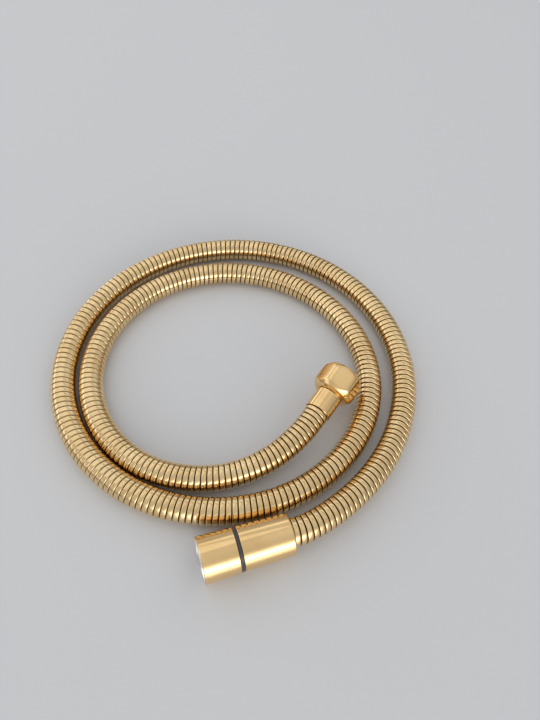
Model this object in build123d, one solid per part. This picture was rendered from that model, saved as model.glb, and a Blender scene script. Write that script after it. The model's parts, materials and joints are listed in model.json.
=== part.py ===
from build123d import *
import os
from math import asin, atan, atan2, cos, degrees, hypot, pi, radians, sin

# Flexible metal shower hose, laid down as a loose flat coil of about two turns, with a
# tapered swivel fitting on its outer end and a hexagon nut on its inner end.
# Millimetres, +Z up, table at Z = 0, origin on the table under the middle of the object.
# The coil is listed from the outer end inwards and turns left all the way.

# ---------------------------------------------------------------- hose section and joints
HOSE_R = 7.5            # outer radius of the metal sheath
SHEATH_BORE_R = 6.2
TUBE_R = 5.5            # elastomer inner tube
TUBE_BORE_R = 4.25

BALL_R = 7.5            # spherical nose on the far end of each sheath segment
SOCKET_R = 7.65         # spherical seat on the near end of each sheath segment
NOSE = 3.0              # reach of the nose past the joint centre
LIP = 2.9               # start of the seat's lip, from the joint centre
NOSE_END = 3.6          # the same two sizes for the two end joints, which bend further
LIP_END = 3.8
CUT_REACH = 14.0        # how far the seat cutter extends back and sideways
STUB = 6.43             # straight sheath between each end fitting and its joint

# ---------------------------------------------------------------- coil layout
START = (44.2912, -96.7431)     # first joint centre, in plan
START_HEADING = 29.341          # plan heading of the hose there, degrees
BEND = 18.7024                  # turning of each segment, degrees
BEND_RAD = radians(BEND)
# Plan radius of each segment's centre line
COIL_RADII = [
    127.8, 122.9, 118.1, 114.2, 110.2, 108.5, 107.4, 106.9, 107.2, 107.5,
    107.9, 108.4, 106.2, 103.0, 100.4, 98.7, 97.1, 97.6, 98.1, 95.4,
    91.3, 88.7, 89.3, 89.9, 90.7, 91.5, 90.0, 87.2, 85.1, 85.1,
    85.1, 85.2, 85.3, 81.4, 74.3, 68.9, 70.1, 71.3, 78.6, 87.0,
]
START_RISE = 3.05       # height of the first joint above the lying hose
START_RUN = 100.0       # length of hose over which it comes down
END_RISE = 6.9          # the same for the last joint
END_RUN = 80.0

# ---------------------------------------------------------------- both fittings
THREAD_MINOR_R = 9.32   # G1/2 internal thread, radius at the crests
THREAD_LEAD = 1.15      # depth of the lead-in taper at each nut's mouth
RELIEF_R = 9.6          # clearance bore behind each thread, where the washers sit
WASHER_R = 9.1
WASHER_BORE_R = 5.2
WASHER_THICK = 2.0
WASHER_GAP = 0.05       # between a washer and the flange beside it
BARB_R = 4.15
BARB_ROOT_R = 3.75
BARBS = 3

# ---------------------------------------------------------------- swivel fitting
# Heights run from the open mouth towards the hose.
CONE_HEADING = 20.462   # degrees
CONE_LEN = 48.5
CONE_MOUTH_R = 11.8
CONE_HOSE_R = 10.7
CONE_GAP = 0.1          # between the turning ring and its neighbours
NUT_END = 18.85
NUT_SHOULDER = 15.0
RING_START = NUT_END + CONE_GAP
RING_END = 21.25
HOUSING_START = RING_END + CONE_GAP
SWIVEL_BORE_R = 6.05    # bore of the ring and housing around the spigot
SPIGOT_R = 5.9
SPIGOT_BORE_R = 3.2
FLANGE_START, FLANGE_END = 12.0, 14.0
CLIP_MIDDLE = 24.6
CLIP_GROOVE_WIDTH = 1.0
CLIP_THICK = 0.7
O_RING_HEIGHTS = (27.5, 30.5)
O_RING_GROOVE_R = 4.85
O_RING_GROOVE_WIDTH = 1.4
TAIL_BARB_START, TAIL_BARB_PITCH = 36.6, 3.4
CONE_JOINT = CONE_LEN + STUB

# ---------------------------------------------------------------- hexagon nut fitting
# Heights run from the hose end of the crimp sleeve towards the nut's open mouth.
HEX_HEADING = 57.64     # degrees
HEX_SLOPE = 0.160       # rise per unit of plan length
HEX_ROLL = 19.0         # turn of one flat away from straight up, degrees
HEX_ACROSS_FLATS = 24.0
HEX_CORNER_R = 12.65
HEX_START, HEX_END = 13.15, 30.5
HEX_SHOULDER = 16.0
HEX_SHAFT_BORE_R = 6.4
STEM_END = 20.2
STEM_BARB_START, STEM_BARB_PITCH = -0.6, 3.2
SLEEVE_LEN = 13.0
SLEEVE_R = 8.1


# ---------------------------------------------------------------- placing
def rest_height(run, total):
    """Height of the hose centre line after `run` of its `total` length."""
    start = min(max(1 - run / START_RUN, 0), 1)
    end = min(max((run - (total - END_RUN)) / END_RUN, 0), 1)
    return HOSE_R + START_RISE * start * start * (3 - 2 * start) + END_RISE * end * end


def lay_coil():
    """Joint centres, and a (frame, tilted radius) pair for each segment.

    A segment's frame has X along the hose at its first joint and Y to the arc's centre.
    """
    x, y = START
    heading, run = radians(START_HEADING), 0.0
    plan = [(x, y, heading, run)]
    for radius in COIL_RADII:
        turned_heading = heading + BEND_RAD
        x += radius * (sin(turned_heading) - sin(heading))
        y -= radius * (cos(turned_heading) - cos(heading))
        heading = turned_heading
        run += radius * BEND_RAD
        plan.append((x, y, heading, run))
    joints = [Vector(x, y, rest_height(at, run)) for x, y, _, at in plan]

    segments = []
    for i, radius in enumerate(COIL_RADII):
        heading = plan[i][2]
        chord = heading + BEND_RAD / 2
        span = joints[i + 1] - joints[i]
        pitch = atan2(span.Z, hypot(span.X, span.Y))
        # Pitching about the level axis square to the chord lifts the far end
        level = Axis((0, 0, 0), (sin(chord), -cos(chord), 0))
        forward = Vector(cos(heading), sin(heading), 0).rotate(level, degrees(pitch))
        up = Vector(0, 0, 1).rotate(level, degrees(pitch))
        frame = Plane(origin=joints[i], x_dir=forward, z_dir=up).location
        segments.append((frame, radius / cos(pitch)))
    return joints, segments


def place_cone(joint):
    """Direction and frame of the swivel fitting, whose cone lies along the table."""
    slope = atan((CONE_MOUTH_R - CONE_HOSE_R) / CONE_LEN)
    heading = radians(CONE_HEADING)
    direction = Vector(cos(heading) * cos(slope), sin(heading) * cos(slope), -sin(slope))
    mouth = joint - direction * CONE_JOINT
    origin = (mouth.X, mouth.Y, CONE_MOUTH_R * cos(slope))
    level = (-direction.Y, direction.X, 0)
    return direction, Plane(origin=origin, z_dir=direction, x_dir=level).location


def place_hex(joint):
    """Direction and frame of the hexagon nut fitting; local X faces one flat."""
    heading = radians(HEX_HEADING)
    direction = Vector(cos(heading), sin(heading), HEX_SLOPE).normalized()
    upward = (Vector(0, 0, 1) - direction * direction.Z).normalized()
    flat = upward.rotate(Axis((0, 0, 0), direction), HEX_ROLL)
    origin = joint + direction * STUB
    return direction, Plane(origin=origin, z_dir=direction, x_dir=flat).location


# ---------------------------------------------------------------- shared shapes
def turned(points):
    """Solid of revolution about local Z from (radius, height) points."""
    return revolve(Plane.XZ * make_face(Polyline(*points, close=True)), Axis.Z)


def ring(bore_r, outer_r, start, end):
    return turned([(bore_r, start), (outer_r, start), (outer_r, end), (bore_r, end)])


def washer(start):
    return ring(WASHER_BORE_R, WASHER_R, start, start + WASHER_THICK)


def on_circle(radius, angle):
    return (radius * cos(angle), radius * sin(angle))


def nose(reach):
    """Spherical nose: centre at the origin, pointing along +Z."""
    angle = asin(reach / BALL_R)
    root, tip = (BALL_R, 0), (BALL_R * cos(angle), reach)
    bore_root, bore_tip = (SHEATH_BORE_R, 0), (SHEATH_BORE_R, reach)
    profile = make_face([
        Line(bore_root, root),
        ThreePointArc(root, on_circle(BALL_R, angle / 2), tip),
        Line(tip, bore_tip),
        Line(bore_tip, bore_root),
    ])
    return revolve(Plane.XZ * profile, Axis.Z)


def seat_cutter(lip):
    """Cuts away everything behind the lip and inside the seat's sphere."""
    angle = asin(lip / SOCKET_R)
    rim, top = (SOCKET_R * cos(angle), lip), (0, SOCKET_R)
    back, back_corner = (0, -CUT_REACH), (CUT_REACH, -CUT_REACH)
    lip_corner = (CUT_REACH, lip)
    profile = make_face([
        Line(back, back_corner),
        Line(back_corner, lip_corner),
        Line(lip_corner, rim),
        ThreePointArc(rim, on_circle(SOCKET_R, (angle + pi / 2) / 2), top),
        Line(top, back),
    ])
    return revolve(Plane.XZ * profile, Axis.Z)


# ---------------------------------------------------------------- hose
def hose_segment(radius, lip, reach):
    """Arc of sheath with a spherical seat at its start and a nose at its end."""
    wall = Plane.YZ * (Circle(HOSE_R) - Circle(SHEATH_BORE_R))
    tube = revolve(wall, Axis((0, radius, 0), (0, 0, 1)), revolution_arc=BEND)
    tube -= Plane(origin=(0, 0, 0), z_dir=(1, 0, 0)).location * seat_cutter(lip)
    end = Plane(
        origin=(radius * sin(BEND_RAD), radius * (1 - cos(BEND_RAD)), 0),
        z_dir=(cos(BEND_RAD), sin(BEND_RAD), 0),
    )
    return tube + end.location * nose(reach)


def inner_tube(joints, segments, cone_dir, cone_frame, hex_dir, hex_frame):
    """One length of elastomer tube through the whole sheath."""
    path = [(cone_frame * Pos(0, 0, z)).position for z in (35.0, 45.0)]
    half = BEND_RAD / 2
    for joint, (frame, radius) in zip(joints, segments):
        middle = frame * Pos(radius * sin(half), radius * (1 - cos(half)), 0)
        path += [joint, middle.position]
    path.append(joints[-1])
    path += [(hex_frame * Pos(0, 0, z)).position for z in (1.0, 8.9)]
    line = Spline(*path, tangents=[cone_dir, hex_dir])
    start = Plane(origin=path[0], z_dir=cone_dir)
    rod = sweep(start * Circle(TUBE_R), path=line)
    core = sweep(start * Circle(TUBE_BORE_R), path=line)

    # The tube is sewn from the long faces of both sweeps and two annular end faces
    skin = [face for swept in (rod, core) for face in swept.faces() if face.area > 500]
    for tip in (path[0], path[-1]):
        disc, hole = [
            [f for f in swept.faces() if f.area < 200 and (f.center() - tip).length < 1][0]
            for swept in (rod, core)
        ]
        skin.append(disc.make_holes([hole.outer_wire()]))
    return Solid(Shell(skin))


# ---------------------------------------------------------------- swivel fitting pieces
def cone_r(z, inset=0.0):
    """Outer radius of the cone at height z, less an inset."""
    return CONE_MOUTH_R + (CONE_HOSE_R - CONE_MOUTH_R) * z / CONE_LEN - inset


def cone_nut():
    return turned([
        (10.45, 0.0), (cone_r(0, 0.5), 0.0), (cone_r(0.5), 0.5),
        (cone_r(NUT_END - 0.2), NUT_END - 0.2), (cone_r(NUT_END, 0.2), NUT_END),
        (6.1, NUT_END), (6.1, NUT_SHOULDER), (RELIEF_R, NUT_SHOULDER),
        (RELIEF_R, 9.4), (THREAD_MINOR_R, 9.4), (THREAD_MINOR_R, THREAD_LEAD),
    ])


def groove(outer_r, floor_r, middle, width):
    """Profile points of a square groove, in rising order."""
    low, high = middle - width / 2, middle + width / 2
    return [(outer_r, low), (floor_r, low), (floor_r, high), (outer_r, high)]


def swivel_spigot():
    """Flanged tube with one clip groove and two O-ring grooves."""
    points = [(SPIGOT_BORE_R, FLANGE_START), (9.0, FLANGE_START), (9.0, FLANGE_END),
              (SPIGOT_R, FLANGE_END)]
    points += groove(SPIGOT_R, 5.2, CLIP_MIDDLE, CLIP_GROOVE_WIDTH)
    for middle in O_RING_HEIGHTS:
        points += groove(SPIGOT_R, O_RING_GROOVE_R, middle, O_RING_GROOVE_WIDTH)
    points += [(SPIGOT_R, 32.6), (5.5, 33.0), (SPIGOT_BORE_R, 33.0)]
    return turned(points)


def o_rings():
    first, second = [Pos(0, 0, z) * Torus(5.47, 0.55) for z in O_RING_HEIGHTS]
    return first + second


def retaining_clip():
    """Flat ring, open on its +X side."""
    clip = ring(5.3, 7.6, CLIP_MIDDLE - CLIP_THICK / 2, CLIP_MIDDLE + CLIP_THICK / 2)
    return clip - Pos(6.5, 0, CLIP_MIDDLE) * Box(4.4, 6.4, 3.0)


def swivel_ring():
    return turned([
        (SWIVEL_BORE_R, RING_START), (cone_r(RING_START, 0.35), RING_START),
        (cone_r(RING_START, 0.12), RING_START + 0.25),
        (cone_r(RING_END, 0.12), RING_END - 0.25),
        (cone_r(RING_END, 0.35), RING_END), (SWIVEL_BORE_R, RING_END),
    ])


def cone_housing():
    return turned([
        (SWIVEL_BORE_R, HOUSING_START), (cone_r(HOUSING_START, 0.2), HOUSING_START),
        (cone_r(HOUSING_START + 0.2), HOUSING_START + 0.2),
        (cone_r(CONE_LEN - 0.7), CONE_LEN - 0.7), (cone_r(CONE_LEN, 0.7), CONE_LEN),
        (8.3, CONE_LEN), (7.75, CONE_LEN - 0.55), (7.75, 45.6), (8.9, 45.6),
        (8.9, 24.0), (SWIVEL_BORE_R, 24.0),
    ])


def hose_tail():
    """Wide cup around the spigot, narrowing to a barbed tail in the inner tube."""
    points = [(8.8, 25.3), (8.8, 34.6), (3.9, 34.6), (3.9, TAIL_BARB_START)]
    for k in range(BARBS):
        z = TAIL_BARB_START + TAIL_BARB_PITCH * k
        points += [(BARB_R, z), (BARB_R, z + 0.8), (BARB_ROOT_R, z + 2.4),
                   (BARB_ROOT_R, z + TAIL_BARB_PITCH)]
    points += [(3.5, 47.2), (3.0, 47.2), (3.0, 34.0), (6.15, 33.4), (6.15, 26.2), (6.5, 25.3)]
    return turned(points)


def grip_bush():
    return turned([(5.6, 35.0), (8.75, 35.0), (8.75, 43.4), (8.3, 43.9), (5.6, 43.9)])


def cone_hose_end():
    stub = ring(SHEATH_BORE_R, HOSE_R, 44.2, CONE_JOINT)
    return stub + Pos(0, 0, CONE_JOINT) * nose(NOSE_END)


# ---------------------------------------------------------------- hexagon nut pieces
def hex_nut():
    """Hexagon trimmed by a turned outline, with a stepped bore."""
    polygon = RegularPolygon(HEX_ACROSS_FLATS / 2, 6, major_radius=False, rotation=30)
    hexagon = Pos(0, 0, HEX_START) * extrude(polygon, HEX_END - HEX_START)
    body = turned([
        (0, HEX_START), (9.6, HEX_START), (11.3, HEX_START + 0.9),
        (HEX_CORNER_R, HEX_START + 3.2), (HEX_CORNER_R, HEX_END - 3.0),
        (11.6, HEX_END - 0.8), (10.9, HEX_END), (0, HEX_END),
    ])
    bore = turned([
        (0, HEX_START - 1), (HEX_SHAFT_BORE_R, HEX_START - 1),
        (HEX_SHAFT_BORE_R, HEX_SHOULDER), (RELIEF_R, HEX_SHOULDER), (RELIEF_R, 22.85),
        (THREAD_MINOR_R, 22.85), (THREAD_MINOR_R, HEX_END - THREAD_LEAD),
        (10.47, HEX_END), (10.47, HEX_END + 1), (0, HEX_END + 1),
    ])
    return (hexagon & body) - bore


def tail_stem():
    """Barbed tail in the inner tube, a collar, and a flange inside the nut."""
    points = [(3.0, STEM_END), (3.0, -2.4), (3.5, -2.4), (BARB_ROOT_R, -2.0),
              (BARB_ROOT_R, STEM_BARB_START)]
    for k in range(BARBS):
        z = STEM_BARB_START + STEM_BARB_PITCH * k
        points += [(BARB_R, z + 2.2), (BARB_R, z + 2.8), (BARB_ROOT_R, z + STEM_BARB_PITCH)]
    points += [(BARB_ROOT_R, 9.4), (7.5, 9.4), (7.5, 11.3), (6.2, 11.3), (6.2, 18.6),
               (9.0, 18.6), (9.0, STEM_END)]
    return turned(points)


def crimp_sleeve():
    return turned([
        (7.65, 0.4), (8.0, 0.0), (SLEEVE_R - 0.1, 0.25), (SLEEVE_R, 0.6),
        (SLEEVE_R, SLEEVE_LEN - 0.5), (SLEEVE_R - 0.4, SLEEVE_LEN),
        (6.3, SLEEVE_LEN), (6.3, 11.4), (7.65, 11.4),
    ])


def hex_hose_end():
    stub = ring(SHEATH_BORE_R, HOSE_R, -STUB, 9.2)
    return stub - Pos(0, 0, -STUB) * seat_cutter(LIP_END)


# ---------------------------------------------------------------- assembly and files
def save(name, shape):
    # A boolean may give a list of solids
    if isinstance(shape, (list, tuple)):
        shape = shape[0] if len(shape) == 1 else Compound(list(shape))
    export_step(shape, f"parts/{name}.step")


os.makedirs("parts", exist_ok=True)
joints, segments = lay_coil()
cone_dir, cone_frame = place_cone(joints[0])
hex_dir, hex_frame = place_hex(joints[-1])

for number, (frame, radius) in enumerate(segments, 1):
    lip = LIP_END if number == 1 else LIP
    reach = NOSE_END if number == len(segments) else NOSE
    save(f"hose_seg_{number:02d}", frame * hose_segment(radius, lip, reach))

cone_pieces = {
    "cone_nut": cone_nut(),
    "cone_nut_washer": washer(FLANGE_START - WASHER_GAP - WASHER_THICK),
    "swivel_spigot": swivel_spigot(),
    "thrust_washer": ring(SWIVEL_BORE_R, 9.0, FLANGE_END + 0.1, NUT_SHOULDER - 0.1),
    "spigot_o_rings": o_rings(),
    "retaining_clip": retaining_clip(),
    "swivel_ring": swivel_ring(),
    "cone_housing": cone_housing(),
    "hose_tail_b": hose_tail(),
    "grip_bush": grip_bush(),
    "hose_end_b": cone_hose_end(),
}
hex_pieces = {
    "hex_nut": hex_nut(),
    "hex_nut_washer": washer(STEM_END + WASHER_GAP),
    "slip_ring": ring(HEX_SHAFT_BORE_R, 9.1, HEX_SHOULDER + 0.1, HEX_SHOULDER + 0.9),
    "tail_stem": tail_stem(),
    "crimp_sleeve": crimp_sleeve(),
    "hose_end_a": hex_hose_end(),
}
for frame, pieces in ((cone_frame, cone_pieces), (hex_frame, hex_pieces)):
    for name, shape in pieces.items():
        save(name, frame * shape)

save("inner_tube", inner_tube(joints, segments, cone_dir, cone_frame, hex_dir, hex_frame))
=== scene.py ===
# A gold shower hose lying coiled on the floor, z = 0, around the origin. Seen from above it runs
# counter-clockwise and spirals inwards, from a tapered swivel fitting to a barrel-shaped hexagon
# nut. Sizes are in mm and become metres when the meshes are made; floor, light and camera are in m.
import json
import math
from functools import reduce

import bmesh
import bpy
import numpy as np
from mathutils import Matrix, Vector


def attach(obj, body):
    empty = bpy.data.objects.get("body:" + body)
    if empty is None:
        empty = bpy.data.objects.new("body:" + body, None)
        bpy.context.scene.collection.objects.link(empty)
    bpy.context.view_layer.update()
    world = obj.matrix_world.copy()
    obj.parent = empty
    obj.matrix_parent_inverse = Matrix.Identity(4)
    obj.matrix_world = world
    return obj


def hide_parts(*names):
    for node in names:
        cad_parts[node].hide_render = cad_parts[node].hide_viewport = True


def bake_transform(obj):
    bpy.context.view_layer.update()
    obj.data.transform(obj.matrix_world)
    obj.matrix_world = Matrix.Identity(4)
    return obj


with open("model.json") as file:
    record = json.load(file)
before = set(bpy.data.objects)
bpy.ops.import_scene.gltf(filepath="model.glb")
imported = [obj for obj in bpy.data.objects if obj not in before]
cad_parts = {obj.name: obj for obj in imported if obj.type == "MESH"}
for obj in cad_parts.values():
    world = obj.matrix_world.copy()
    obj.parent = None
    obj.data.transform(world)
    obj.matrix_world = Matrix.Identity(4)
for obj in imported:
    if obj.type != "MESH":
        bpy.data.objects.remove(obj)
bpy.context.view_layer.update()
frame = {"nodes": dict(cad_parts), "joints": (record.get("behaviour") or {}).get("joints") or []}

MM = 0.001
TURN = 2 * math.pi
JOINTS = {joint["name"]: joint for joint in frame["joints"]}
ARC_COUNT = sum(1 for name in frame["nodes"] if name.startswith("hose_seg_"))
ARC_ANGLE = math.radians(JOINTS["hose_uncoil"]["range_deg"][1])


def joint_line(name):
    """Place of a joint in mm and the unit direction of its axis."""
    axis = np.array(JOINTS[name]["axis"], float)
    return np.array(JOINTS[name]["pos_m"]) * 1000.0, axis / np.linalg.norm(axis)


CONE_LINE = CONE_ORIGIN, CONE_AXIS = joint_line("swivel_turn")
HEX_LINE = HEX_ORIGIN, HEX_AXIS = joint_line("hex_nut_turn")

# Hose and the liner inside it
HOSE_RADIUS, BORE_RADIUS = 7.5, 5.95
LINER_INNER, LINER_OUTER = 4.25, 5.5
CONE_HOSE_START = 44.0        # along the cone axis, where the centre line starts
HEX_HOSE_END = 9.2            # along the nut axis, where the centre line ends

# Tapered fitting, measured along its axis from the mouth
CONE_MOUTH_RADIUS, CONE_END_RADIUS, CONE_LENGTH = 11.8, 10.7, 48.5
LIP_START, LIP_END = 0.0, 0.62
NUT_START, NUT_END = 0.66, 19.10
HOUSING_START = 21.10
RECESS_DEPTH = 0.25           # shallow recess in both faces beside the swivel ring
RING_GAP, RING_HUB = 0.08, 0.15   # ring band stops short of the faces, its hub enters the recesses
RIM_INSET = 0.22              # rims that lie below the cone surface

# Threads inside both nuts
THREAD_PITCH, THREAD_MINOR, THREAD_MAJOR = 1.814, 9.316, 10.478
THREAD_STEP = 0.085           # spacing of outline points along a thread
CONE_THREAD, HEX_THREAD_START = (1.2, 9.3), 22.9

# Hexagon nut
HEX_START, HEX_END = 13.15, 30.5
HEX_ACROSS_FLATS, BARREL_RADIUS = 24.2, 13.45
HEX_ROLL = math.radians(16.0)

WASHER_INNER, WASHER_OUTER, WASHER_THICKNESS = 5.2, 9.1, 2.0

# Ends (x, y, z) of the coil's arcs, in order from the tapered end to the nut end
ARC_ENDS = np.array([
    (44.291, -96.743, 10.550), (76.707, -70.780, 9.401), (98.228, -37.136, 7.765),
    (107.450, 0.119, 7.500), (104.345, 37.101, 7.500), (90.064, 69.942, 7.500),
    (66.377, 96.060, 7.500), (35.879, 113.031, 7.500), (1.710, 119.297, 7.500),
    (-32.762, 114.261, 7.500), (-63.884, 98.393, 7.500), (-88.367, 73.291, 7.500),
    (-103.578, 41.518, 7.500), (-107.711, 7.254, 7.500), (-100.853, -25.508, 7.500),
    (-84.281, -53.613, 7.500), (-59.990, -74.559, 7.500), (-30.747, -86.415, 7.500),
    (0.915, -88.278, 7.500), (31.660, -79.847, 7.500), (57.350, -62.494, 7.500),
    (75.313, -38.879, 7.500), (84.487, -11.553, 7.500), (84.413, 17.467, 7.500),
    (74.976, 45.115, 7.500), (57.012, 68.484, 7.500), (32.288, 85.002, 7.500),
    (4.043, 92.595, 7.500), (-24.237, 90.787, 7.500), (-49.813, 80.267, 7.500),
    (-70.665, 62.101, 7.500), (-84.591, 38.208, 7.500), (-90.126, 11.079, 7.500),
    (-86.667, -16.424, 7.500), (-75.124, -40.225, 7.500), (-58.178, -57.425, 7.500),
    (-38.180, -67.494, 7.500), (-15.622, -70.673, 7.508), (7.147, -66.378, 8.226),
    (29.404, -53.846, 10.371), (48.290, -32.807, 14.400)])

# Arc ends around which the hose is made in pieces; the inner cuts lie halfway between them
BENDS = [0] + list(range(2, ARC_COUNT, 3)) + [ARC_COUNT]

# The turns of the wound strip slide, so their pitch varies: (mm from the first bend, pitch)
STRIP_PITCH = np.array([
    (-20, 3.24), (45, 3.26), (90, 3.49), (135, 3.60), (180, 3.66), (225, 3.64), (270, 3.63),
    (315, 3.60), (360, 3.70), (405, 3.79), (450, 3.92), (495, 3.73), (540, 3.55), (585, 3.30),
    (630, 3.25), (675, 3.30), (720, 3.32), (765, 3.65), (810, 3.80), (855, 3.75), (900, 3.60),
    (945, 3.52), (990, 3.62), (1035, 3.82), (1080, 3.60), (1125, 3.31), (1170, 3.20),
    (1300, 3.18)])

# Section of one turn of strip: (part of the pitch, height from the hose radius)
STRIP_SECTION = np.array([
    (0.0, -.72), (.040, -.70), (.075, -.44), (.095, -.23), (.120, -.095), (.160, -.030),
    (.240, .0), (.350, .0), (.480, -.025), (.610, -.065), (.730, -.12), (.835, -.19),
    (.900, -.31), (.950, -.66)])


# ------------------------------------------------------------------ centre line of the hose
def straight(start, end, count):
    return [start + (end - start) * k / count for k in range(count)]


def arc(start, end, count):
    """Points of one arc, turning left by ARC_ANGLE and rising evenly."""
    dx, dy, rise = end - start
    radius = math.hypot(dx, dy) / 2 / math.sin(ARC_ANGLE / 2)
    heading = math.atan2(dy, dx) - ARC_ANGLE / 2
    points = []
    for k in range(count):
        turned = heading + ARC_ANGLE * k / count
        points.append(np.array([start[0] + radius * (math.sin(turned) - math.sin(heading)),
                                start[1] - radius * (math.cos(turned) - math.cos(heading)),
                                start[2] + rise * k / count]))
    return points


def lengths_along(points):
    return np.r_[0, np.cumsum(np.linalg.norm(np.diff(points, axis=0), axis=1))]


def smoothed(points, sigma, reach=60):
    """Gaussian smoothing over `reach` samples each way, with both ends carried on straight."""
    weights = np.exp(-0.5 * (np.arange(-reach, reach + 1) / sigma) ** 2)
    weights /= weights.sum()
    before = points[0] + (points[0] - points[1]) * np.arange(reach, 0, -1)[:, None]
    after = points[-1] + (points[-1] - points[-2]) * np.arange(1, reach + 1)[:, None]
    extended = np.vstack([before, points, after])
    return np.stack([np.convolve(extended[:, k], weights, "valid") for k in range(3)], 1)


def centre_line(spacing=0.2, smoothing=4.0):
    """Points of the hose's centre line, their lengths along it and those of the arc ends."""
    points = straight(CONE_ORIGIN + CONE_AXIS * CONE_HOSE_START, ARC_ENDS[0], 40)
    marks = []
    for i in range(ARC_COUNT):
        marks.append(len(points))
        points += arc(ARC_ENDS[i], ARC_ENDS[i + 1], 96)
    marks.append(len(points))
    hose_end = HEX_ORIGIN + HEX_AXIS * HEX_HOSE_END
    points += straight(ARC_ENDS[-1], hose_end, 60) + [hose_end]
    points = np.array(points)
    rough_length = lengths_along(points)
    even = np.arange(0, rough_length[-1], spacing)
    resampled = np.stack([np.interp(even, rough_length, points[:, k]) for k in range(3)], 1)
    line = smoothed(resampled, smoothing / spacing)
    length = lengths_along(line)
    samples = np.arange(len(even))
    mark_samples = np.interp(rough_length[marks], even, samples)
    return line, length, np.interp(mark_samples, samples, length)


LINE, LENGTHS, ARC_END_AT = centre_line()
TANGENTS = np.gradient(LINE, axis=0)
TANGENTS /= np.linalg.norm(TANGENTS, axis=1)[:, None]
HOSE_LENGTH = LENGTHS[-1]


def hose_frame(s):
    """Centre point, sideways and upward directions at length s, also beyond either end."""
    s = np.asarray(s, float)
    point = np.stack([np.interp(s, LENGTHS, LINE[:, k]) for k in range(3)], -1)
    beyond = (np.maximum(s - HOSE_LENGTH, 0)[..., None] * TANGENTS[-1]
              - np.maximum(-s, 0)[..., None] * TANGENTS[0])
    tangent = np.stack([np.interp(s, LENGTHS, TANGENTS[:, k]) for k in range(3)], -1)
    tangent /= np.linalg.norm(tangent, axis=-1, keepdims=True)
    side = np.cross(tangent, np.array([0.0, 0.0, 1.0]))
    side /= np.linalg.norm(side, axis=-1, keepdims=True)
    return point + beyond, side, np.cross(side, tangent)


def hose_surface(s, radius, angle):
    """Points around the centre line; the columns of s go with the angles."""
    point, side, up = hose_frame(s)
    outward = np.cos(angle)[:, None] * side + np.sin(angle)[:, None] * up
    return point + np.asarray(radius)[..., None] * outward


# Number of strip turns wound up to each length, counted from the start of the hose
TURN_SPACING, TURN_MARGIN = 0.25, 12.0
TURN_LENGTHS = np.arange(-TURN_MARGIN, HOSE_LENGTH + TURN_MARGIN, TURN_SPACING)
TURN_COUNTS = np.cumsum(TURN_SPACING / np.interp(TURN_LENGTHS - ARC_END_AT[0],
                                                 STRIP_PITCH[:, 0], STRIP_PITCH[:, 1]))
TURN_COUNTS -= np.interp(0.0, TURN_LENGTHS, TURN_COUNTS)


def length_at_turn(turn):
    return np.interp(turn, TURN_COUNTS, TURN_LENGTHS)


def turn_at_length(s):
    return float(np.interp(s, TURN_LENGTHS, TURN_COUNTS))


# ------------------------------------------------------------------ mesh helpers
def add_object(name, data):
    ob = bpy.data.objects.new(name, data)
    bpy.context.scene.collection.objects.link(ob)
    return ob


def turn_outwards(ob):
    """Reverses all the faces of a closed mesh if they point inwards."""
    bm = bmesh.new()
    bm.from_mesh(ob.data)
    if bm.calc_volume(signed=True) < 0:
        bmesh.ops.reverse_faces(bm, faces=bm.faces[:])
        bm.to_mesh(ob.data)
    bm.free()


def new_mesh(name, points, faces, material, flat_from=None):
    """Smooth mesh from points in mm; the faces from number flat_from on are flat."""
    mesh = bpy.data.meshes.new(name)
    mesh.from_pydata((points * MM).tolist(), [], faces)
    mesh.validate()
    mesh.update()
    smooth = np.ones(len(mesh.polygons), bool)
    if flat_from is not None:
        smooth[flat_from:] = False
    mesh.polygons.foreach_set("use_smooth", smooth)
    ob = add_object(name, mesh)
    mesh.materials.append(material)
    return ob


def grid_quads(index):
    """Faces between neighbouring rows and columns of a grid of vertex numbers."""
    return np.stack([index[:-1, :-1], index[:-1, 1:], index[1:, 1:], index[1:, :-1]],
                    -1).reshape(-1, 4)


def flipped(quads):
    return quads[:, [0, 3, 2, 1]]


def end_faces(outer, inner):
    """Faces that close the wall between two grids at their first and last rows."""
    faces = []
    for q in range(outer.shape[1] - 1):
        faces.append([outer[0, q], inner[0, q], inner[0, q + 1], outer[0, q + 1]])
        faces.append([outer[-1, q], outer[-1, q + 1], inner[-1, q + 1], inner[-1, q]])
    return faces


def rounded(corners, arc_steps):
    """Closed outline of (along, radius) points from (along, radius, fillet) corners."""
    outline = []
    for i, (along, radius, fillet) in enumerate(corners):
        corner = np.array((along, radius), float)
        back = np.array(corners[i - 1][:2], float) - corner
        ahead = np.array(corners[(i + 1) % len(corners)][:2], float) - corner
        back_length, ahead_length = np.linalg.norm(back), np.linalg.norm(ahead)
        back, ahead = back / back_length, ahead / ahead_length
        angle = math.acos(max(-1, min(1, float(back @ ahead))))
        if fillet <= 0 or angle > math.pi - 0.02:
            outline.append(tuple(corner))
            continue
        cut = min(fillet / math.tan(angle / 2), 0.45 * back_length, 0.45 * ahead_length)
        fillet = cut * math.tan(angle / 2)
        start, end = corner + back * cut, corner + ahead * cut
        bisector = (back + ahead) / np.linalg.norm(back + ahead)
        centre = corner + bisector * fillet / math.sin(angle / 2)
        # a point just outside each end of the fillet keeps the shading of straight runs flat
        hold = min(0.06, 0.02 * min(back_length, ahead_length) + 0.01)
        if back_length - cut > 3 * hold:
            outline.append(tuple(start + back * hold))
        for k in range(arc_steps + 1):
            w = k / arc_steps
            spoke = (start - centre) * (1 - w) + (end - centre) * w
            outline.append(tuple(centre + spoke / np.linalg.norm(spoke) * fillet))
        if ahead_length - cut > 3 * hold:
            outline.append(tuple(end + ahead * hold))
    return outline


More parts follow.
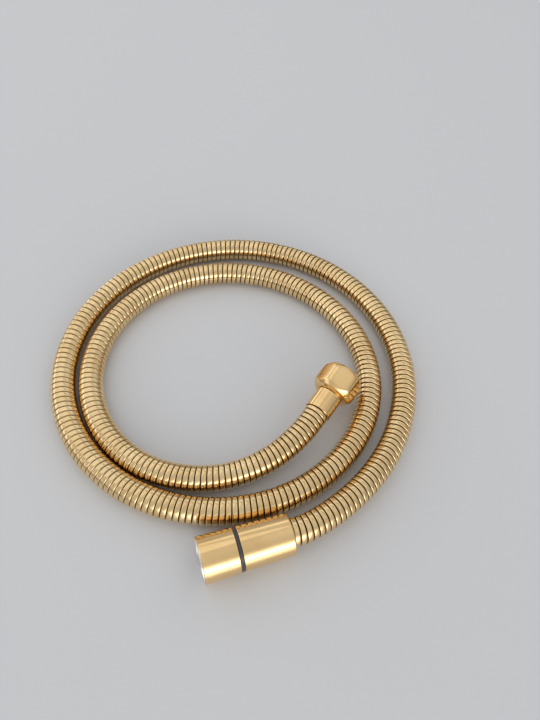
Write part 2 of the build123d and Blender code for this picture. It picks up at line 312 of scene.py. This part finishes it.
def refined(outline, step, where):
    """Adds points along those runs of a closed outline whose middle passes where()."""
    points = []
    for i, here in enumerate(outline):
        p, q = np.array(here), np.array(outline[(i + 1) % len(outline)])
        points.append(tuple(p))
        if where((p + q) / 2):
            count = int(np.linalg.norm(q - p) / step)
            points += [tuple(p + (q - p) * j / count) for j in range(1, count)]
    return points


def lathe(name, outline, line, material, columns, shape=None, first_dir=None):
    """Turns a closed outline about a joint line; shape(along, radius, angle) changes the radius."""
    origin, z = line
    if first_dir is None:
        x = np.cross([0, 0, 1.0], z)
    else:
        x = first_dir - (first_dir @ z) * z
    x /= np.linalg.norm(x)
    y = np.cross(z, x)
    outline = np.array(outline, float)
    rows = len(outline)
    along = np.repeat(outline[:, 0:1], columns, 1)
    radius = np.repeat(outline[:, 1:2], columns, 1)
    angle = np.repeat((np.arange(columns) / columns * 2 * math.pi)[None, :], rows, 0)
    if shape is not None:
        radius = shape(along, radius, angle)
    outward = np.cos(angle)[..., None] * x + np.sin(angle)[..., None] * y
    points = origin + along[..., None] * z + radius[..., None] * outward
    index = np.arange(rows * columns).reshape(rows, columns)
    faces = grid_quads(np.pad(index, ((0, 1), (0, 1)), mode="wrap")).tolist()
    ob = new_mesh(name, points.reshape(-1, 3), faces, material)
    turn_outwards(ob)
    return ob


def turned_part(name, outline, line, material, columns, body, slot, replaces=None, **options):
    """A lathe mesh that rides on a body and may take the place of a CAD node."""
    ob = lathe(name, outline, line, material, columns, **options)
    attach(ob, body)
    if replaces:
        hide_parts(replaces)


# ------------------------------------------------------------------ shader helpers
def new_material(name):
    material = bpy.data.materials.new(name)
    material.use_nodes = True
    tree = material.node_tree
    return material, tree, tree.nodes["Principled BSDF"]


def object_coords(tree):
    return tree.nodes.new("ShaderNodeTexCoord").outputs["Object"]


def noise(tree, coords, scale, detail, roughness=0.5):
    node = tree.nodes.new("ShaderNodeTexNoise")
    node.inputs["Scale"].default_value = scale
    node.inputs["Detail"].default_value = detail
    node.inputs["Roughness"].default_value = roughness
    tree.links.new(coords, node.inputs["Vector"])
    return node.outputs["Fac"]


def ramp(tree, factor, stops):
    """Colour ramp from (position, rgb) stops."""
    node = tree.nodes.new("ShaderNodeValToRGB")
    elements = node.color_ramp.elements
    while len(elements) > 1:
        elements.remove(elements[-1])
    elements[0].position = stops[0][0]
    elements[0].color = (*stops[0][1], 1)
    for position, rgb in stops[1:]:
        elements.new(position).color = (*rgb, 1)
    tree.links.new(factor, node.inputs["Fac"])
    return node.outputs["Color"]


def maths(tree, operation, *values):
    """Math node; each value is a number or the output of a node."""
    node = tree.nodes.new("ShaderNodeMath")
    node.operation = operation
    for socket, value in zip(node.inputs, values):
        if isinstance(value, (int, float)):
            socket.default_value = value
        else:
            tree.links.new(value, socket)
    return node.outputs[0]


def scaled(tree, value, factor, offset):
    return maths(tree, "ADD", maths(tree, "MULTIPLY", value, factor), offset)


def total(tree, values):
    return reduce(lambda a, b: maths(tree, "ADD", a, b), values)


def mix_colours(tree, blend_type, first, second):
    node = tree.nodes.new("ShaderNodeMix")
    node.data_type = "RGBA"
    node.blend_type = blend_type
    node.inputs["Factor"].default_value = 1.0
    tree.links.new(first, node.inputs[6])     # 6 and 7 are the colour sockets A and B
    tree.links.new(second, node.inputs[7])
    return node.outputs[2]


def add_bump(tree, shader, height, strength, distance):
    node = tree.nodes.new("ShaderNodeBump")
    node.inputs["Strength"].default_value = strength
    node.inputs["Distance"].default_value = distance
    tree.links.new(height, node.inputs["Height"])
    tree.links.new(node.outputs["Normal"], shader.inputs["Normal"])


# ------------------------------------------------------------------ materials
def gold(name, base, rough, bump, groove_shade_and_tone=False):
    """Polished gold with faint blotches and smears; with the flag set, a mesh attribute multiplies
    in painted shade in the grooves and a slightly uneven tone from turn to turn.
    """
    material, tree, shader = new_material(name)
    coords = object_coords(tree)
    shader.inputs["Metallic"].default_value = 1.0
    light = [min(1, c * 1.05) for c in base]
    dark = [base[0] * 0.93, base[1] * 0.88, base[2] * 0.80]
    blotches = noise(tree, coords, scale=55.0, detail=4.0)
    colour = ramp(tree, blotches, [(0.3, dark), (0.7, light)])
    if groove_shade_and_tone:
        # painted shade of the grooves, together with the random turn-to-turn tone
        attribute = tree.nodes.new("ShaderNodeAttribute")
        attribute.attribute_name = "groove_shade_and_tone"
        colour = mix_colours(tree, "MULTIPLY", colour, attribute.outputs["Color"])
    tree.links.new(colour, shader.inputs["Base Color"])
    smears = noise(tree, coords, scale=160.0, detail=5.0, roughness=0.6)
    fine = noise(tree, coords, scale=1400.0, detail=2.0)
    smeared = scaled(tree, smears, factor=rough * 0.9, offset=rough * 0.55)
    roughness = maths(tree, "ADD", smeared, maths(tree, "MULTIPLY", fine, 0.03))
    tree.links.new(roughness, shader.inputs["Roughness"])
    ripples = noise(tree, coords, scale=420.0, detail=3.0, roughness=0.55)
    height = maths(tree, "ADD", ripples, maths(tree, "MULTIPLY", fine, 0.3))
    add_bump(tree, shader, height, strength=bump, distance=0.0002)
    return material


def plain(name, base, rough, scale, spread, metallic=0.0, bump=0.05):
    """One colour, varying by +-spread in patches of the noise scale, with a fine grain."""
    material, tree, shader = new_material(name)
    coords = object_coords(tree)
    dark = [c * (1 - spread) for c in base]
    light = [min(1, c * (1 + spread)) for c in base]
    patches = noise(tree, coords, scale=scale, detail=4.0)
    colour = ramp(tree, patches, [(0.3, dark), (0.7, light)])
    tree.links.new(colour, shader.inputs["Base Color"])
    shader.inputs["Metallic"].default_value = metallic
    grain = noise(tree, coords, scale=scale * 4, detail=3.0)
    roughness = scaled(tree, grain, factor=rough * 0.5, offset=rough * 0.75)
    tree.links.new(roughness, shader.inputs["Roughness"])
    add_bump(tree, shader, grain, strength=bump, distance=0.0003)
    return material


GOLD_FITTING = gold("gold_fitting", base=(0.92, 0.655, 0.325), rough=0.12, bump=0.02)
GOLD_SHEATH = gold("gold_sheath", base=(0.87, 0.655, 0.36), rough=0.15, bump=0.05, groove_shade_and_tone=True)
BRASS = plain("bare_brass", base=(0.62, 0.45, 0.20), rough=0.30, scale=500.0, spread=0.08,
              metallic=1.0)
STEEL = plain("spring_steel", base=(0.45, 0.45, 0.46), rough=0.30, scale=600.0, spread=0.08,
              metallic=1.0)
DARK = plain("dark_acetal", base=(0.055, 0.050, 0.060), rough=0.34, scale=900.0, spread=0.2,
             bump=0.04)
WHITE = plain("white_acetal", base=(0.74, 0.74, 0.71), rough=0.42, scale=500.0, spread=0.05,
              bump=0.04)
LIP = plain("machined_lip", base=(0.82, 0.82, 0.83), rough=0.32, scale=700.0, spread=0.06,
            metallic=1.0)
RUBBER = plain("black_rubber", base=(0.022, 0.022, 0.024), rough=0.75, scale=1200.0,
               spread=0.25, bump=0.25)

# ------------------------------------------------------------------ sheath: helically wound strip
SECTION_PART, SECTION_HEIGHT = STRIP_SECTION.T
SECTION_POINTS = len(STRIP_SECTION)
TURN_STEPS = 56
JITTER = np.random.RandomState(7).normal(0, 1, 5000)


def wobble(turn, seed):
    """Smooth random value that changes from turn to turn."""
    x = turn + seed * 611.3
    i = np.floor(x).astype(int) % 4990
    f = x - np.floor(x)
    f = f * f * (3 - 2 * f)
    return JITTER[i] * (1 - f) + JITTER[i + 1] * f


def coil_index(rows, rows_per_turn, first):
    """Vertex numbers of a coil: the end of one turn is the start of the next."""
    index = first + np.arange(rows * (TURN_STEPS + 1)).reshape(rows, TURN_STEPS + 1)
    index[:rows - rows_per_turn, -1] = index[rows_per_turn:, 0]
    return index


def sheath_piece(name, first_turn, last_turn):
    """Closed hollow piece of sheath, both cuts running in the groove."""
    rows = (last_turn - first_turn) * SECTION_POINTS + 1
    row = np.arange(rows)
    part = SECTION_PART[row % SECTION_POINTS][:, None]
    height = SECTION_HEIGHT[row % SECTION_POINTS][:, None]
    around = np.arange(TURN_STEPS + 1)
    angle = -math.pi / 2 + 2 * math.pi * around / TURN_STEPS
    row_turn = first_turn + row // SECTION_POINTS
    strip = row_turn[:, None] + around / TURN_STEPS
    turn = row_turn[:, None] + part + around / TURN_STEPS

    # each turn stands a little higher or lower and leans a little, fading out in the groove
    crest = np.clip((height + 0.70) / 0.70, 0, 1)
    radius = HOSE_RADIUS + height + crest * 0.022 * wobble(strip, 1)
    lean = 0.035 * wobble(strip * 0.9, 2) * (part - 0.5) * crest
    radius = np.minimum(radius + lean, HOSE_RADIUS + 0.02)
    outside = hose_surface(length_at_turn(turn), radius, angle).reshape(-1, 3)
    outer = coil_index(rows, SECTION_POINTS, 0)

    bore_rows = last_turn - first_turn + 1
    bore_turn = first_turn + np.arange(bore_rows)[:, None] + around / TURN_STEPS
    inside = hose_surface(length_at_turn(bore_turn), BORE_RADIUS, angle).reshape(-1, 3)
    inner = coil_index(bore_rows, 1, len(outside))

    faces = grid_quads(outer).tolist() + flipped(grid_quads(inner)).tolist()
    smooth_count = len(faces)
    faces += end_faces(outer, inner)
    # the step at each end, in one radial plane
    faces.append([*outer[:SECTION_POINTS + 1, 0], inner[1, 0], inner[0, 0]])
    faces.append([*outer[-SECTION_POINTS - 1:, -1], inner[-1, -1], inner[-2, -1]][::-1])

    points = np.vstack([outside, inside])
    used = np.unique([v for face in faces for v in face])
    renumber = -np.ones(len(points), int)
    renumber[used] = np.arange(len(used))
    faces = [renumber[face].tolist() for face in faces]
    ob = new_mesh(name, points[used], faces, GOLD_SHEATH, flat_from=smooth_count)

    # painted shade: dark and warmer in the groove and darker inside the bore; slightly uneven from
    # turn to turn at random
    groove_shade_and_tone = 0.03 + 0.97 * np.clip((height + 0.50) / 0.30, 0, 1)
    groove_shade_and_tone = groove_shade_and_tone * (1 + 0.035 * wobble(strip * 0.7, 5))
    groove_shade_and_tone = np.concatenate([groove_shade_and_tone.ravel(), np.full(len(inside), 0.4)])[used]
    colours = np.stack([groove_shade_and_tone, groove_shade_and_tone ** 1.15, groove_shade_and_tone ** 1.4, np.ones_like(groove_shade_and_tone)], 1)
    attribute = ob.data.attributes.new("groove_shade_and_tone", "FLOAT_COLOR", "POINT")
    attribute.data.foreach_set("color", colours.astype(np.float32).ravel())
    turn_outwards(ob)
    return ob


def liner_piece(name, start, end, columns=40, spacing=2.5):
    """Piece of plain rubber tube that follows the centre line."""
    rows = max(4, int((end - start) / spacing))
    s = np.repeat(np.linspace(start, end, rows)[:, None], columns, 1)
    angle = np.arange(columns) / columns * 2 * math.pi
    points = np.vstack([hose_surface(s, radius, angle).reshape(-1, 3)
                        for radius in (LINER_OUTER, LINER_INNER)])
    index = np.arange(rows * columns).reshape(rows, columns)
    outer = np.pad(index, ((0, 0), (0, 1)), mode="wrap")
    inner = outer + rows * columns
    walls = np.stack([grid_quads(outer), flipped(grid_quads(inner))], 1).reshape(-1, 4)
    faces = walls.tolist() + np.array(end_faces(outer, inner)).tolist()
    ob = new_mesh(name, points, faces, RUBBER)
    turn_outwards(ob)
    return ob


def hose():
    """One piece of sheath and liner for each bend, cut halfway between the bends."""
    cuts = [1]
    for a, b in zip(BENDS, BENDS[1:]):
        cuts.append(int(round(turn_at_length((ARC_END_AT[a] + ARC_END_AT[b]) / 2) - 0.5)))
    cuts.append(int(math.floor(turn_at_length(HOSE_LENGTH - 1.5))) - 1)
    last = len(BENDS) - 1
    for i in range(last + 1):
        start, end = float(length_at_turn(cuts[i])), float(length_at_turn(cuts[i + 1]))
        blend_start = 6.0 if i == 0 else start + 5.0
        blend_end = end - (4.0 if i == last else 3.0)
        sheath = sheath_piece("sheath_%02d" % i, cuts[i], cuts[i + 1])
        liner = liner_piece("liner_%02d" % i, start - (2.0 if i == 0 else 0.0), end)
        for ob, slot in ((sheath, "gold_sheath"), (liner, "rubber")):
            tuple(hose_frame(blend_start)[0] * MM)
            tuple(hose_frame(blend_end)[0] * MM)
            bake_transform(ob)
        if i == 0:
            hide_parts("hose_end_b")
            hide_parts("inner_tube")
        else:
            for k in range(BENDS[i - 1] + 1, BENDS[i] + 1):
                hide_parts("hose_seg_%02d" % k)
        if i == last:
            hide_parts("hose_end_a")


# ------------------------------------------------------------------ tapered swivel fitting
# Corners of all the turned parts are (mm along the axis, radius, fillet).
def cone_radius(along):
    return CONE_MOUTH_RADIUS + (CONE_END_RADIUS - CONE_MOUTH_RADIUS) * along / CONE_LENGTH


def on_thread_root(point):
    return abs(point[1] - THREAD_MINOR) < 0.01


def thread(start, end):
    """Shape that cuts a helical groove into the bore at the minor radius."""
    def shape(along, radius, angle):
        phase = (along / THREAD_PITCH - angle / TURN) % 1.0
        cut = np.clip((np.abs(2 * phase - 1) - 0.12) / 0.76, 0, 1)
        cut = 0.35 * (cut * cut * (3 - 2 * cut)) + 0.65 * cut
        run_out = np.clip((along - start) / 0.9, 0, 1) * np.clip((end - along) / 1.5, 0, 1)
        grooved = radius + cut * run_out * (THREAD_MAJOR - THREAD_MINOR)
        return np.where(np.abs(radius - THREAD_MINOR) < 0.02, grooved, radius)
    return shape


def cone_lip():
    corners = [
        (LIP_START, 9.9, 0.10), (LIP_START, cone_radius(LIP_START) - 0.30, 0.12),
        (LIP_END, cone_radius(0.6) - RIM_INSET, 0.06), (LIP_END, 9.9, 0.10)]
    turned_part("cone_nut_lip", rounded(corners, 5), CONE_LINE, LIP, 144,
                body="cone_nut", slot="gold_fitting")


def cone_nut():
    corners = [
        (NUT_START, 10.5, 0.10), (NUT_START, cone_radius(NUT_START) - RIM_INSET, 0.12),
        (0.95, cone_radius(0.95), 0.18), (NUT_END, cone_radius(NUT_END), 0.22),
        (NUT_END, 10.3, 0.1), (NUT_END - RECESS_DEPTH, 10.3, 0.05),
        (NUT_END - RECESS_DEPTH, 6.1, 0.1), (15.0, 6.1, 0.1), (15.0, 9.6, 0.1),
        (9.4, 9.6, 0.05), (9.4, THREAD_MINOR, 0.0), (1.15, THREAD_MINOR, 0.0)]
    outline = refined(rounded(corners, 5), THREAD_STEP,
                      lambda point: on_thread_root(point) and 1.1 < point[0] < 9.5)
    turned_part("cone_nut_shell", outline, CONE_LINE, GOLD_FITTING, 144, body="cone_nut",
                slot="gold_fitting", replaces="cone_nut", shape=thread(*CONE_THREAD))


def cone_housing():
    recess = HOUSING_START + RECESS_DEPTH
    corners = [
        (recess, 6.1, 0.1), (recess, 10.3, 0.05), (HOUSING_START, 10.3, 0.1),
        (HOUSING_START, cone_radius(HOUSING_START), 0.22),
        (CONE_LENGTH, CONE_END_RADIUS, 1.25), (CONE_LENGTH, 8.1, 0.5), (47.6, 7.8, 0.3),
        (45.6, 7.8, 0.2), (45.6, 8.9, 0.1), (24.0, 8.9, 0.1), (24.0, 6.1, 0.1)]
    turned_part("cone_housing_shell", rounded(corners, 7), CONE_LINE, GOLD_FITTING, 144,
                body="swivel_housing", slot="gold_fitting", replaces="cone_housing")


def swivel_ring():
    hub_start, hub_end = NUT_END - RING_HUB, HOUSING_START + RING_HUB
    start, end = NUT_END + RING_GAP, HOUSING_START - RING_GAP
    corners = [
        (hub_start, 6.1, 0.1), (hub_start, 10.2, 0.05), (start, 10.2, 0.05),
        (start, cone_radius(start) - RIM_INSET, 0.40), (end, cone_radius(end) - RIM_INSET, 0.40),
        (end, 10.2, 0.05), (hub_end, 10.2, 0.05), (hub_end, 6.1, 0.1)]
    turned_part("swivel_ring_shell", rounded(corners, 7), CONE_LINE, DARK, 144,
                body="swivel_housing", slot="dark_polymer", replaces="swivel_ring")


def washer(name, start, line, body, replaces):
    end = start + WASHER_THICKNESS
    corners = [(start, WASHER_INNER, 0.25), (start, WASHER_OUTER, 0.25),
               (end, WASHER_OUTER, 0.25), (end, WASHER_INNER, 0.25)]
    turned_part(name, rounded(corners, 5), line, RUBBER, 96, body=body, slot="rubber",
                replaces=replaces)


# ------------------------------------------------------------------ hexagon nut end
def hex_shape(along, radius, angle):
    """A barrel-turned hexagon: the barrel meets each flat in an oval, with the edges softened."""
    softness, level = 0.27, 12   # width of the softened edge; radius the blend is measured from
    from_flat = (angle + math.pi / 6) % (math.pi / 3) - math.pi / 6
    middle, half = (HEX_START + HEX_END) / 2 - 0.3, (HEX_END - HEX_START) / 2
    x = (along - middle) / half
    crown = 1.0 - 0.012 * x ** 2 - 0.006 * (from_flat / 0.52) ** 2
    flat = HEX_ACROSS_FLATS / 2 / np.cos(from_flat) * crown
    barrel = BARREL_RADIUS * (1.0 - 0.055 * np.abs(x) ** 2.2)
    blend = sum(np.exp(-(limit - level) / softness) for limit in (flat, radius, barrel))
    soft = -softness * np.log(blend) + level
    soft = np.where(radius < 11.9, np.minimum(soft, radius), soft)
    bore = thread(HEX_THREAD_START, HEX_END - 1.0)(along, radius, angle)
    return np.where(radius > 10.55, soft, bore)


def hex_nut():
    up = np.array([0, 0, 1.0]) - HEX_AXIS[2] * HEX_AXIS
    up /= np.linalg.norm(up)
    flat_dir = math.cos(HEX_ROLL) * up + math.sin(HEX_ROLL) * np.cross(HEX_AXIS, up)
    corners = [
        (HEX_START, 6.4, 0.1), (HEX_START, 9.2, 0.25), (HEX_START + 1.1, 10.9, 1.2),
        (HEX_START + 4.2, BARREL_RADIUS, 3.5), (HEX_END - 3.4, BARREL_RADIUS, 3.2),
        (HEX_END - 0.5, 11.4, 0.9), (HEX_END, 10.9, 0.25), (HEX_END, THREAD_MAJOR + 0.002, 0.08),
        (HEX_END - 1.15, THREAD_MINOR, 0.0), (22.85, THREAD_MINOR, 0.0), (22.85, 9.6, 0.05),
        (16.0, 9.6, 0.1), (16.0, 6.4, 0.1)]
    outline = refined(rounded(corners, 8), THREAD_STEP,
                      lambda point: on_thread_root(point) and point[0] > 22.0)
    outline = refined(outline, 0.45, lambda point: point[1] > 11.0)
    turned_part("hex_nut_shell", outline, HEX_LINE, GOLD_FITTING, 288, body="hex_nut",
                slot="gold_fitting", replaces="hex_nut", shape=hex_shape, first_dir=flat_dir)


def crimp_sleeve():
    corners = [(0.0, 7.7, 0.12), (0.0, 8.1, 0.30), (13.0, 8.1, 0.25), (13.0, 6.3, 0.1),
               (11.4, 6.3, 0.1), (11.4, 7.7, 0.1)]
    turned_part("crimp_sleeve_shell", rounded(corners, 6), HEX_LINE, GOLD_FITTING, 128,
                body="hose_tail", slot="gold_fitting", replaces="crimp_sleeve")


# ------------------------------------------------------------------ CAD nodes kept as they are
KEPT_NODES = {
    "swivel_spigot": BRASS, "tail_stem": BRASS, "hose_tail_b": BRASS, "retaining_clip": STEEL,
    "spigot_o_rings": RUBBER, "thrust_washer": WHITE, "slip_ring": WHITE, "grip_bush": WHITE}


def dress_kept_nodes():
    for name, material in KEPT_NODES.items():
        mesh = frame["nodes"][name].data
        mesh.materials.clear()
        mesh.materials.append(material)


# ------------------------------------------------------------------ floor, light, camera (m)
def floor(half=8.0, z=-0.0002):
    mesh = bpy.data.meshes.new("floor")
    mesh.from_pydata([(-half, -half, z), (half, -half, z), (half, half, z), (-half, half, z)],
                     [], [(0, 1, 2, 3)])
    ob = add_object("floor", mesh)
    material, tree, shader = new_material("floor_paper")
    shader.inputs["Base Color"].default_value = (0.69, 0.70, 0.72, 1)
    # matt to the eye, with a soft sheen that only the polished metal picks up
    seen = tree.nodes.new("ShaderNodeLightPath").outputs["Is Camera Ray"]
    tree.links.new(scaled(tree, seen, factor=0.5, offset=0.20), shader.inputs["Roughness"])
    tree.links.new(scaled(tree, seen, factor=-0.45, offset=0.5),
                   shader.inputs["Specular IOR Level"])
    mesh.materials.append(material)


def key_light(location=(-0.70, 0.45, 1.30), size=1.6, power=2.4, colour=(1.0, 0.985, 0.96)):
    """Square area light aimed at the origin."""
    light = bpy.data.lights.new("key", "AREA")
    light.shape = "RECTANGLE"
    light.size = light.size_y = size
    light.energy = power
    light.color = colour
    aim = Vector((0, 0, 0)) - Vector(location)
    turned = aim.to_track_quat("-Z", "Y").to_matrix().to_4x4()
    add_object("key", light).matrix_world = Matrix.Translation(location) @ turned


# Sky grey by height: (z of the direction, rgb)
SKY = [(0.0, (0.26, 0.26, 0.27)), (0.06, (0.30, 0.30, 0.31)), (0.30, (0.52, 0.52, 0.53)),
       (0.62, (0.71, 0.71, 0.71)), (1.0, (0.77, 0.77, 0.765))]
# Soft panels of light in the sky: (direction of the centre, width along x, y and z, level)
GLOWS = [
    ((0.38, -0.88, 0.20), (0.55, 0.40, 0.25), 4.6),
    ((-0.90, 0.1, 0.30), (0.25, 0.55, 0.14), 1.5),
    ((0.1, 0.80, 0.52), (0.60, 0.30, 0.10), 0.7),
    ((-0.60, 0.76, 0.10), (0.32, 0.32, 0.13), 1.5),
    ((0.44, 0.14, 0.89), (0.28, 0.28, 0.20), 0.17)]


def glow(tree, direction, centre, width, level):
    """level * exp(-(distance across / width)^2) around the centre."""
    squares = []
    for k in range(3):
        offset = maths(tree, "SUBTRACT", direction.outputs[k], centre[k])
        offset = maths(tree, "DIVIDE", offset, width[k])
        squares.append(maths(tree, "MULTIPLY", offset, offset))
    fall = maths(tree, "EXPONENT", maths(tree, "MULTIPLY", total(tree, squares), -1.0))
    return maths(tree, "MULTIPLY", fall, level)


def studio_world():
    world = bpy.data.worlds.new("studio")
    bpy.context.scene.world = world
    world.use_nodes = True
    tree = world.node_tree
    nodes, link = tree.nodes, tree.links.new
    room = nodes["Background"]
    direction = nodes.new("ShaderNodeSeparateXYZ")
    link(nodes.new("ShaderNodeTexCoord").outputs["Generated"], direction.inputs[0])
    sky = ramp(tree, direction.outputs["Z"], SKY)
    glows = total(tree, [glow(tree, direction, *entry) for entry in GLOWS])
    grey = nodes.new("ShaderNodeCombineColor")
    for k in range(3):
        link(glows, grey.inputs[k])
    link(mix_colours(tree, "ADD", sky, grey.outputs[0]), room.inputs["Color"])
    room.inputs["Strength"].default_value = 0.84
    # the room itself isn't seen: the camera looks at an even pale backdrop
    backdrop = nodes.new("ShaderNodeBackground")
    backdrop.inputs["Color"].default_value = (0.56, 0.57, 0.585, 1)
    choice = nodes.new("ShaderNodeMixShader")
    link(nodes.new("ShaderNodeLightPath").outputs["Is Camera Ray"], choice.inputs[0])
    link(room.outputs[0], choice.inputs[1])
    link(backdrop.outputs[0], choice.inputs[2])
    link(choice.outputs[0], nodes["World Output"].inputs[0])


def camera(location=(0.0218792, -0.1971931, 0.28752), down_deg=52.844, roll_deg=3.563):
    """Camera on the -y side, looking towards +y and down."""
    data = bpy.data.cameras.new("camera")
    data.sensor_width = 36.0
    data.lens = 27.066
    data.clip_start = 0.01
    ob = add_object("camera", data)
    down, roll = math.radians(down_deg), math.radians(roll_deg)
    forward = Vector((0, math.cos(down), -math.sin(down)))
    level = Vector((1, 0, 0))
    upright = level.cross(forward)
    right = math.cos(roll) * level + math.sin(roll) * upright
    up = -math.sin(roll) * level + math.cos(roll) * upright
    turned = Matrix((right, up, -forward)).transposed().to_4x4()
    ob.matrix_world = Matrix.Translation(location) @ turned
    bpy.context.scene.camera = ob


hose()
cone_lip()
cone_nut()
cone_housing()
swivel_ring()
washer("cone_washer_ring", 9.95, CONE_LINE, body="swivel_spigot", replaces="cone_nut_washer")
hex_nut()
crimp_sleeve()
washer("hex_washer_ring", 20.25, HEX_LINE, body="hose_tail", replaces="hex_nut_washer")
dress_kept_nodes()
floor()
key_light()
studio_world()
bpy.context.scene.view_settings.view_transform = "Standard"
camera()
